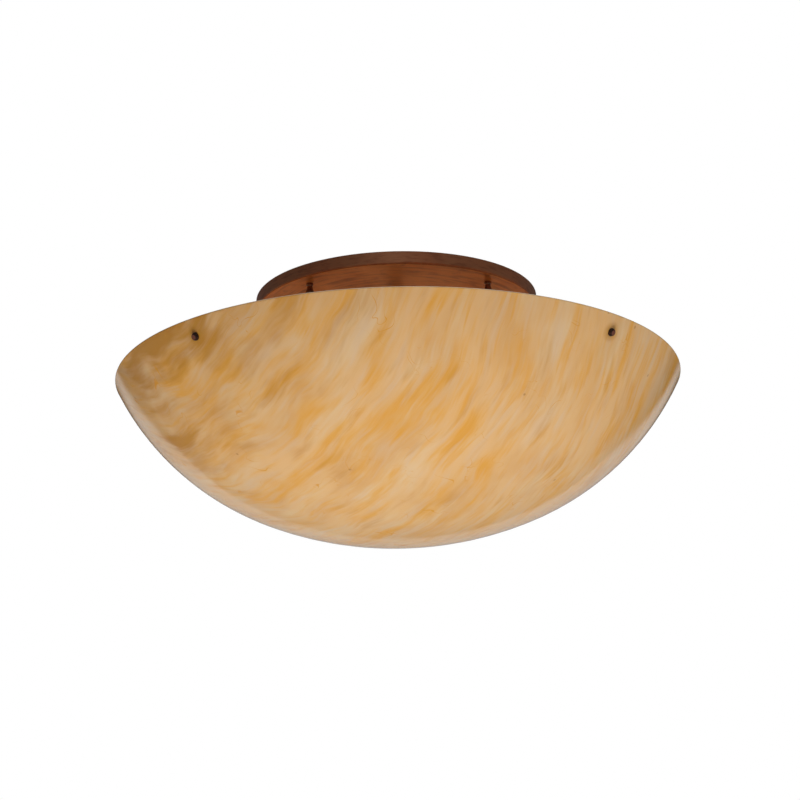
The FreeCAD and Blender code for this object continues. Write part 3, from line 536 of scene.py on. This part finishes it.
# The amber spots are the glass's own amber; those at the lower front centre also stand as a painted
# warm glow of the lamps inside.
AMBER_AND_GLOW_GATHERS = (
    (-62, -185, 170, 70), (66, -200, 170, 60), (0, -236, 150, 50), (-200, -236, 120, 60),
    (-120, -330, 110, 40), (92, -236, 110, 40), (250, -200, 150, 40),
)
MILK_GATHERS = (
    (-103, -288, 130, 90), (-172, -192, 120, 70), (187, -272, 130, 60), (157, -231, 130, 70),
    (22, -148, 130, 50), (-30, -110, 130, 50), (-240, -130, 120, 40), (-40, -350, 120, 60),
)


def blank_place(tree, place):
    """Where a point lay on the flat blank: further out than in plan, because the wall is steep."""
    plan = add(tree, "ShaderNodeVectorMath", {"operation": "MULTIPLY"}, _0=place, _1=(1, 1, 0))
    radius = add(tree, "ShaderNodeVectorMath", {"operation": "LENGTH"}, _0=plan.outputs[0])
    share = add(tree, "ShaderNodeMath", {"operation": "DIVIDE"},
                _0=radius.outputs["Value"], _1=RIM_RADIUS)
    cubed = add(tree, "ShaderNodeMath", {"operation": "POWER"}, _0=share.outputs[0], _1=3.0)
    growth = add(tree, "ShaderNodeMath", {"operation": "MULTIPLY_ADD"},
                 _0=cubed.outputs[0], _1=BLANK_GROWTH, _2=1.0)
    return add(tree, "ShaderNodeVectorMath", {"operation": "SCALE"},
               _0=plan.outputs[0], Scale=growth.outputs[0]).outputs[0]


def streaks(tree, place, length_mm, width_mm, shift, detail=3.0):
    """Noise drawn out along the streaks, in long cells. The shift picks a part of the noise."""
    stretch = add(tree, "ShaderNodeMapping", Vector=place, Location=(shift, 0.7 * shift, 0),
                  Scale=(1000 / length_mm, 1000 / width_mm, 1))
    return add(tree, "ShaderNodeTexNoise", {"noise_dimensions": "2D"}, Vector=stretch.outputs[0],
               Scale=1.0, Detail=detail, Roughness=0.5).outputs["Fac"]


def pushed(tree, place, pattern, push_mm):
    """The place, pushed to both sides by a pattern, by at most about this much in millimetres."""
    offset = add(tree, "ShaderNodeMath", {"operation": "SUBTRACT"}, _0=pattern, _1=0.5)
    most = tuple(mm / NOISE_SWING / 1000 for mm in push_mm)
    step = add(tree, "ShaderNodeVectorMath", {"operation": "SCALE"}, _0=most,
               Scale=offset.outputs[0])
    return add(tree, "ShaderNodeVectorMath", {"operation": "ADD"},
               _0=place, _1=step.outputs[0]).outputs[0]


def gathered(tree, place, pattern, spots, boost):
    """Raises a pattern by a boost at the middle of each spot, fading out to the spot's edge."""
    cosine, sine = math.cos(-STREAK_TURN), math.sin(-STREAK_TURN)
    nearest = 0.0
    for x, y, length, width in spots:
        middle = ((cosine * x - sine * y) / 1000, (sine * x + cosine * y) / 1000, 0)
        offset = add(tree, "ShaderNodeVectorMath", {"operation": "SUBTRACT"}, _0=place, _1=middle)
        scaled = add(tree, "ShaderNodeVectorMath", {"operation": "MULTIPLY"},
                     _0=offset.outputs[0], _1=(2000 / length, 2000 / width, 0))
        reach = add(tree, "ShaderNodeVectorMath", {"operation": "LENGTH"}, _0=scaled.outputs[0])
        inside = add(tree, "ShaderNodeMapRange", {"interpolation_type": "SMOOTHSTEP"},
                     Value=reach.outputs["Value"], From_Min=0.0, From_Max=GATHER_FADE,
                     To_Min=1.0, To_Max=0.0)
        nearest = add(tree, "ShaderNodeMath", {"operation": "MAXIMUM"},
                      _0=nearest, _1=inside.outputs[0]).outputs[0]
    return add(tree, "ShaderNodeMath", {"operation": "MULTIPLY_ADD"},
               _0=nearest, _1=boost, _2=pattern).outputs[0]


def curls(tree, place, size_mm, line, shift):
    """Thin curled lines, where a noise of this cell size passes through its middle value."""
    moved = add(tree, "ShaderNodeMapping", Vector=place, Location=(shift, shift, 0),
                Scale=(1000 / size_mm, 1000 / size_mm, 1))
    level = add(tree, "ShaderNodeTexNoise", {"noise_dimensions": "2D"}, Vector=moved.outputs[0],
                Scale=1.0, Detail=1.0, Distortion=0.6)
    off = add(tree, "ShaderNodeMath", {"operation": "SUBTRACT"}, _0=level.outputs["Fac"], _1=0.5)
    near = add(tree, "ShaderNodeMath", {"operation": "ABSOLUTE"}, _0=off.outputs[0])
    return add(tree, "ShaderNodeMapRange", Value=near.outputs[0], From_Min=0.0, From_Max=line,
               To_Min=1.0, To_Max=0.0).outputs[0]


def combed(tree, place, shift):
    """Long strands with hairs between them, in blank coordinates."""
    strands = streaks(tree, place, *STRANDS_MM, shift, 2.0)
    hairs = streaks(tree, place, *HAIRS_MM, 1.7 * shift, 1.0)
    return add(tree, "ShaderNodeMath", {"operation": "MULTIPLY_ADD"},
               _0=hairs, _1=HAIR_SHARE, _2=strands).outputs[0]


def drawn_out(tree, pattern, comb, share):
    """A soft pattern whose edges are drawn out into strands and hairs."""
    middle = 0.5 * (1 + HAIR_SHARE)
    centred = add(tree, "ShaderNodeMath", {"operation": "SUBTRACT"}, _0=comb, _1=middle)
    return add(tree, "ShaderNodeMath", {"operation": "MULTIPLY_ADD"},
               _0=centred.outputs[0], _1=share, _2=pattern).outputs[0]


def near_rim_screws(tree, place):
    """Distance to the nearest of the four rim screws, which lie alike in all four quarters."""
    low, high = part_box("rim_screw_1")
    middle = tuple(abs(a + b) / 2 for a, b in zip(low, high))
    folded = add(tree, "ShaderNodeVectorMath", {"operation": "ABSOLUTE"}, _0=place)
    offset = add(tree, "ShaderNodeVectorMath", {"operation": "SUBTRACT"},
                 _0=folded.outputs[0], _1=middle)
    return add(tree, "ShaderNodeVectorMath", {"operation": "LENGTH"},
               _0=offset.outputs[0]).outputs["Value"]


def streaky_glass():
    """Cream, with tan, milk, amber and ochre laid over it in streaks that waver and fray."""
    material, tree, shader, place = start_material("streaky_opalescent_glass")
    along = add(tree, "ShaderNodeMapping", Vector=blank_place(tree, place),
                Rotation=(0, 0, -STREAK_TURN)).outputs[0]
    sway = cloud(tree, along, SWAY_RUN_MM, 1.0)
    swayed = pushed(tree, along, sway, (0.0, SWAY_MM, 0.0))
    waver = cloud(tree, along, WAVER_RUN_MM)
    swayed = pushed(tree, swayed, waver, (0.0, WAVER_MM, 0.0))
    comb = combed(tree, swayed, 7.7)
    other_comb = combed(tree, swayed, 2.2)
    feathered = pushed(tree, swayed, comb, (FEATHER_MM, 0.0, 0.0))

    haze = streaks(tree, swayed, *HAZE_STREAKS)
    milk = gathered(tree, swayed, streaks(tree, feathered, *MILK_STREAKS), MILK_GATHERS, 0.16)
    milk = drawn_out(tree, milk, other_comb, 0.28)
    # Amber streaks, raised in the amber spots, which at the lower front centre are partly a painted
    # warm glow of the lamps.
    amber = gathered(tree, swayed, streaks(tree, feathered, *AMBER_STREAKS), AMBER_AND_GLOW_GATHERS, 0.14)
    amber = drawn_out(tree, amber, comb, 0.28)
    amber_lines = streaks(tree, feathered, *AMBER_LINES, 2.0)
    brown = gathered(tree, swayed, streaks(tree, feathered, *BROWN_STREAKS), BROWN_GATHERS, 0.30)
    brown = drawn_out(tree, brown, comb, 0.3)
    ochre = gathered(tree, swayed, streaks(tree, feathered, *OCHRE_STREAKS), OCHRE_GATHERS, 0.66)
    ochre = drawn_out(tree, ochre, comb, 0.3)
    wisps = drawn_out(tree, streaks(tree, feathered, *WISP_STREAKS), other_comb, 0.3)
    hooks = add(tree, "ShaderNodeMath", {"operation": "MULTIPLY"},
                _0=curls(tree, swayed, HOOK_MM, HOOK_LINE, 5.0),
                _1=cloud(tree, along, HOOK_CLOUD_MM, 1.0)).outputs[0]
    seeds = add(tree, "ShaderNodeTexVoronoi", {"voronoi_dimensions": "2D"}, Vector=along,
                Scale=1000 / SPECK_SPREAD_MM).outputs["Distance"]
    parts = add(tree, "ShaderNodeSeparateXYZ", _0=place)

    colour = lay_over(tree, GLASS_CREAM, GLASS_TAN, haze, 0.38, 0.70, 0.75)
    colour = lay_over(tree, colour, GLASS_MILK, milk, 0.46, 0.86, 0.70)
    colour = lay_over(tree, colour, GLASS_AMBER, amber, 0.44, 0.80, 0.72)
    colour = lay_over(tree, colour, GLASS_AMBER, amber_lines, 0.50, 0.78, 0.42)
    colour = lay_over(tree, colour, GLASS_DEEP_AMBER, amber, 0.66, 0.96, 0.35)
    colour = lay_over(tree, colour, GLASS_WISP, wisps, 0.48, 0.78, 0.40)
    colour = lay_over(tree, colour, GLASS_OCHRE, brown, 0.52, 0.98, 0.48)
    colour = lay_over(tree, colour, GLASS_OCHRE, ochre, 0.68, 1.22, 0.90)
    colour = lay_over(tree, colour, GLASS_DEEP_AMBER, hooks, 0.52, 0.64, 0.70)
    colour = lay_over(tree, colour, GLASS_SPECK, seeds, 1.3 * SPECK_MM / SPECK_SPREAD_MM,
                      0.4 * SPECK_MM / SPECK_SPREAD_MM, 0.45)
    # Painted shade: a soft darker ochre patch round each rim screw, for the rubber pad and nut
    # behind the glass.
    colour = lay_over(tree, colour, GLASS_OCHRE, near_rim_screws(tree, place),
                      SCREW_SHADE_HALO_MM / 1000, SCREW_SHADE_HALO_MM / 2000, 0.55)
    # Paler top of the rim: the ground glass, and a painted highlight along the rim's edge.
    colour = lay_over(tree, colour, GLASS_GROUND_RIM_AND_HIGHLIGHT, parts.outputs["Z"],
                      RIM_HEIGHT - GROUND_MM[0] / 1000, RIM_HEIGHT - GROUND_MM[1] / 1000, 0.8)
    tree.links.new(colour, shader.inputs["Base Color"])
    shader.inputs["Roughness"].default_value = 0.09
    shader.inputs["IOR"].default_value = 1.52
    shader.inputs["Subsurface Weight"].default_value = 0.3
    shader.inputs["Subsurface Radius"].default_value = (1.0, 0.8, 0.6)
    shader.inputs["Subsurface Scale"].default_value = 0.008
    return material


dress(streaky_glass(), "glass_bowl")

# What holds the glass: at each rim screw a red-brown fibre washer outside, a nylon bush in the hole
# and a black rubber disc inside, so that no metal touches the glass.
dress(moulded_plastic("vulcanised_fibre", "#4A2A1C", 0.7), "rim_washers")
dress(moulded_plastic("natural_nylon", "#D8D4C8", 0.45), "rim_bushings")
dress(moulded_plastic("black_rubber", "#1A1A1A", 0.8), "rim_pads")

# Lampholders: moulded phenolic shells, near black with a soft gloss, each with a white porcelain
# block and thin rolled brass inside.
BRASS_LIT = linear("#D9B568")
BRASS_DULL = linear("#A07B3A")
TARNISH_MM = 8


def rolled_brass():
    material, tree, shader, place = start_material("thin_rolled_brass")
    tarnish = cloud(tree, place, TARNISH_MM, 3.0)
    colour = lay_over(tree, BRASS_LIT, BRASS_DULL, tarnish, 0.42, 0.75, 0.7)
    tree.links.new(colour, shader.inputs["Base Color"])
    dulled = add(tree, "ShaderNodeMapRange", Value=tarnish, From_Min=0.3, From_Max=0.7,
                 To_Min=0.20, To_Max=0.36)
    tree.links.new(dulled.outputs[0], shader.inputs["Roughness"])
    shader.inputs["Metallic"].default_value = 1.0
    return material


phenolic = moulded_plastic("black_phenolic", "#161312", 0.3)
brass = rolled_brass()
dress(moulded_plastic("glazed_porcelain", "#E6E3DA", 0.15), "socket_cores")
dress(brass, "socket_contacts")
for number in EACH_OF_FOUR:
    dress(phenolic, "socket_shell_%d" % number)
    dress(brass, "screw_shell_%d" % number, "bulb_base_%d" % number)

# Bulbs: thin blown glass, frosted inside, with a brass base. The frost gives an even white, and the
# smooth outer face shines over it.
FROST_WHITE = linear("#F2EFE8")
FROST_SHADE = linear("#E3DED2")
FROST_MM = 30


def frosted_bulb():
    material, tree, shader, place = start_material("frosted_bulb_glass")
    frost = cloud(tree, place, FROST_MM)
    colour = lay_over(tree, FROST_WHITE, FROST_SHADE, frost, 0.4, 0.7, 0.7)
    tree.links.new(colour, shader.inputs["Base Color"])
    shader.inputs["Roughness"].default_value = 0.35
    shader.inputs["Coat Weight"].default_value = 1.0
    shader.inputs["Coat Roughness"].default_value = 0.05
    return material


frosted = frosted_bulb()
for number in EACH_OF_FOUR:
    dress(frosted, "bulb_globe_%d" % number)
